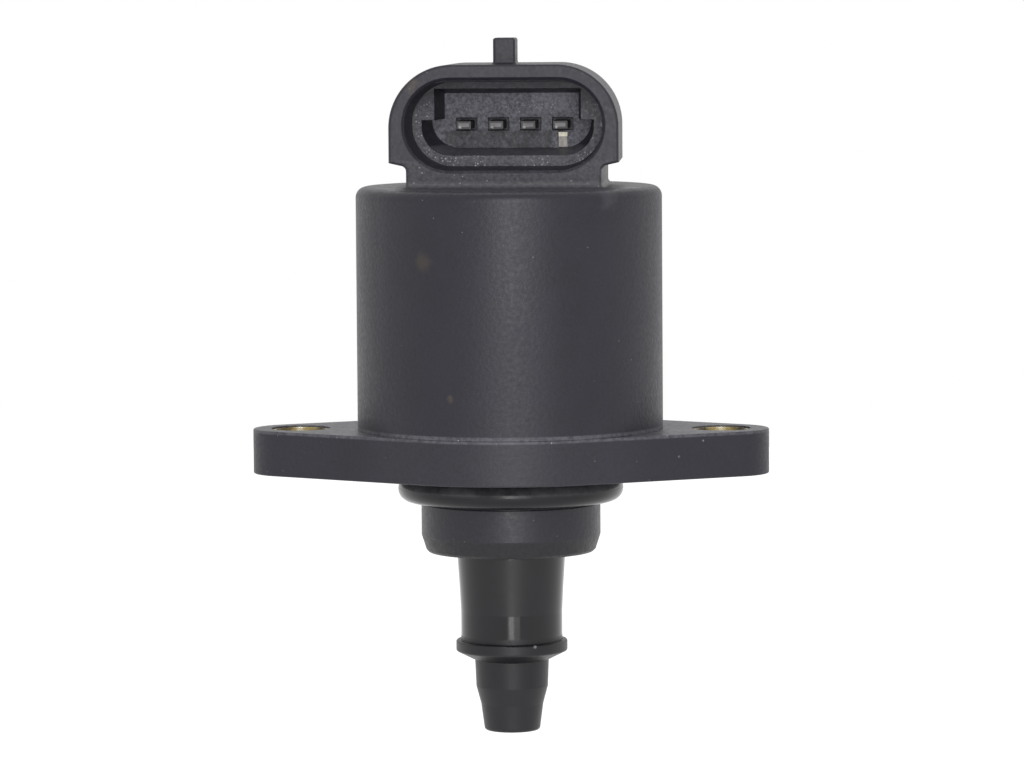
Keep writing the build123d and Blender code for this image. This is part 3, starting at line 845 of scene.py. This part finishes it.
@dataclass
class LeadScrew(TurnedPiece):
    """The steel screw that the rotor's nut drives."""

    node: str = "lead_screw"
    body: str = "plunger"
    slot: str = "plain_steel"
    lead: float = 1.0 * MM
    thread_depth: float = 0.55 * MM
    flat_share: float = 0.3
    foot_share: float = 0.4
    start_share: float = 0.5
    sunk_share: float = 0.2
    anchor: float = 3.4 * MM
    chamfer: float = 0.4 * MM

    def build(self, dresser: Dresser) -> bpy.types.Object:
        """Build the core and the thread round it.

        Args:
            dresser: Source of the material.

        Returns:
            The new object.
        """
        low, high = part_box(self.node)
        crest = high.x
        core = crest - self.thread_depth
        mesh = bmesh.new()
        Lathe.turn(mesh, [
            (0, low.z), (crest - self.chamfer, low.z), (crest, low.z + self.chamfer),
            (crest, low.z + self.anchor), (core, low.z + self.anchor + self.thread_depth),
            (core, high.z - self.chamfer), (core - self.chamfer, high.z), (0, high.z),
        ], self.round_steps)
        first = low.z + self.anchor + self.lead * self.start_share
        turns = math.floor((high.z - self.chamfer - first) / self.lead)
        flat, foot = self.lead * self.flat_share / 2, self.lead * self.foot_share
        sunk = core - self.thread_depth * self.sunk_share
        Lathe.wind(mesh, [
            (sunk, first - foot), (crest, first - flat), (crest, first + flat), (sunk, first + foot),
        ], turns, self.lead, self.round_steps // 2)
        return self.finish(mesh, dresser)


@dataclass
class WireCoil(TurnedPiece):
    """One phase's winding: the wire's outer layer over the filled coil."""

    body: str = "valve_body"
    slot: str = "winding_copper"
    wire: float = 0.24 * MM
    wire_sides: int = 8

    def build(self, dresser: Dresser) -> bpy.types.Object:
        """Build the coil and its outer turns.

        Args:
            dresser: Source of the material.

        Returns:
            The new object.
        """
        low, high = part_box(self.node)
        inner, outer = self.radii()
        middle = outer - self.wire / 2
        mesh = bmesh.new()
        section = [(inner, low.z), (middle, low.z), (middle, high.z), (inner, high.z)]
        Lathe.turn(mesh, section, self.round_steps)
        turns = math.floor((high.z - low.z) / self.wire) - 1
        ring = [math.tau * side / self.wire_sides for side in range(self.wire_sides)]
        start = low.z + self.wire / 2
        Lathe.wind(mesh, [
            (middle + math.cos(turn) * self.wire / 2, start + math.sin(turn) * self.wire / 2) for turn in ring
        ], turns, self.wire, self.round_steps)
        return self.finish(mesh, dresser)


@dataclass(frozen=True)
class SoftBox:
    """One soft studio lamp, aimed at the valve."""

    name: str
    azimuth: float
    elevation: float
    distance: float
    width: float
    height: float
    power: float

    def build(self, middle: float) -> None:
        """Place the lamp.

        Args:
            middle: Height on the axis that it looks at.
        """
        lamp = bpy.data.lights.new(self.name, "AREA")
        lamp.shape = "RECTANGLE"
        lamp.size, lamp.size_y = self.width, self.height
        lamp.energy = self.power
        holder = bpy.data.objects.new(self.name, lamp)
        holder.location, out = place(middle, self.azimuth, self.elevation, self.distance)
        holder.rotation_mode = "QUATERNION"
        holder.rotation_quaternion = (-out).to_track_quat("-Z", "Y")
        bpy.context.scene.collection.objects.link(holder)


@dataclass
class Studio:
    """The floor, the lamps, the white surroundings and the camera."""

    azimuth: float = 4.2
    elevation: float = 4.6
    roll: float = -0.4
    focal: float = 5000.0
    distance: float = 0.524
    aim: float = 9.21 * MM
    aim_left: float = 1.9
    floor_drop: float = 110 * MM
    floor_size: float = 3.0
    floor_colour: Colour = (0.85, 0.85, 0.85, 1.0)
    floor_glow: float = 0.72
    sky: float = 0.5
    clip: tuple[float, float] = (0.01, 10.0)
    lamps: tuple[SoftBox, ...] = (
        SoftBox("front_lamp", azimuth=9.0, elevation=15.0, distance=0.6, width=0.32, height=0.56, power=1.05),
        SoftBox("strip_lamp", azimuth=3.5, elevation=15.0, distance=0.6, width=0.12, height=0.56, power=0.8),
    )

    def build(self) -> None:
        """Set up everything round the valve."""
        bpy.context.scene.view_settings.view_transform = "Standard"
        self.light()
        self.lay_floor()
        self.set_camera()

    def seen(self, recipe: Recipe) -> Sock:
        """Tell the rays that are seen from the rays that light surfaces.

        Args:
            recipe: Recipe that gets the nodes.

        Returns:
            1 for what the camera, a reflection or clear glass sees, and 0 for light on surfaces.
        """
        path = recipe.node("ShaderNodeLightPath", out="Is Camera Ray")
        outputs = path.socket.node.outputs
        seen = path + Sock(recipe, outputs["Is Glossy Ray"]) + Sock(recipe, outputs["Is Transmission Ray"])
        return recipe.node("ShaderNodeMath", {"operation": "MINIMUM"}, {0: seen, 1: 1.0})

    def light(self) -> None:
        """Place the lamps and the white surroundings."""
        for lamp in self.lamps:
            lamp.build(self.aim)
        world = bpy.data.worlds.new("white_room")
        bpy.context.scene.world = world
        recipe = Recipe(world)
        strength = self.seen(recipe) * (1 - self.sky) + self.sky
        recipe.show(recipe.node("ShaderNodeBackground", None, {"Color": WHITE, "Strength": strength}))

    def lay_floor(self) -> None:
        """Lay a pale floor, which looks white where nothing shades it."""
        mesh = bmesh.new()
        bmesh.ops.create_grid(mesh, x_segments=1, y_segments=1, size=self.floor_size / 2)
        bmesh.ops.translate(mesh, verts=mesh.verts, vec=(0, 0, cad_box[0].z - self.floor_drop))
        data = bpy.data.meshes.new("floor")
        mesh.to_mesh(data)
        mesh.free()
        material = bpy.data.materials.new("pale_floor")
        recipe = Recipe(material)
        paint = recipe.node("ShaderNodeBsdfDiffuse", None, {"Color": self.floor_colour})
        glow = recipe.node("ShaderNodeEmission", None, {"Strength": self.seen(recipe) * self.floor_glow})
        recipe.show(recipe.node("ShaderNodeAddShader", None, {0: paint, 1: glow}))
        data.materials.append(material)
        floor = bpy.data.objects.new("floor", data)
        bpy.context.scene.collection.objects.link(floor)

    def set_camera(self) -> None:
        """Put the camera where the photograph was taken from."""
        lens = bpy.data.cameras.new("camera")
        lens.sensor_width = SENSOR_WIDTH
        lens.lens = self.focal * SENSOR_WIDTH / PICTURE_WIDTH
        lens.clip_start, lens.clip_end = self.clip
        camera = bpy.data.objects.new("camera", lens)
        spot, out = place(self.aim, self.azimuth, self.elevation, self.distance)
        look = (-out).to_track_quat("-Z", "Y") @ Quaternion((0, 0, 1), math.radians(self.roll))
        right = look @ Vector((1, 0, 0))
        camera.rotation_mode = "QUATERNION"
        camera.rotation_quaternion = look
        camera.location = spot + right * (self.aim_left * self.distance / self.focal)
        bpy.context.scene.collection.objects.link(camera)
        bpy.context.scene.camera = camera


def main() -> None:
    """Dress the solids, add the fine pieces and set up the studio."""
    logging.basicConfig(level=logging.INFO, format="%(name)s: %(message)s")
    dresser = Dresser()
    dresser.dress()
    LeadScrew().build(dresser)
    for phase in ("lower_winding", "upper_winding"):
        WireCoil(phase).build(dresser)
    Studio().build()


if __name__ == "__main__":
    main()
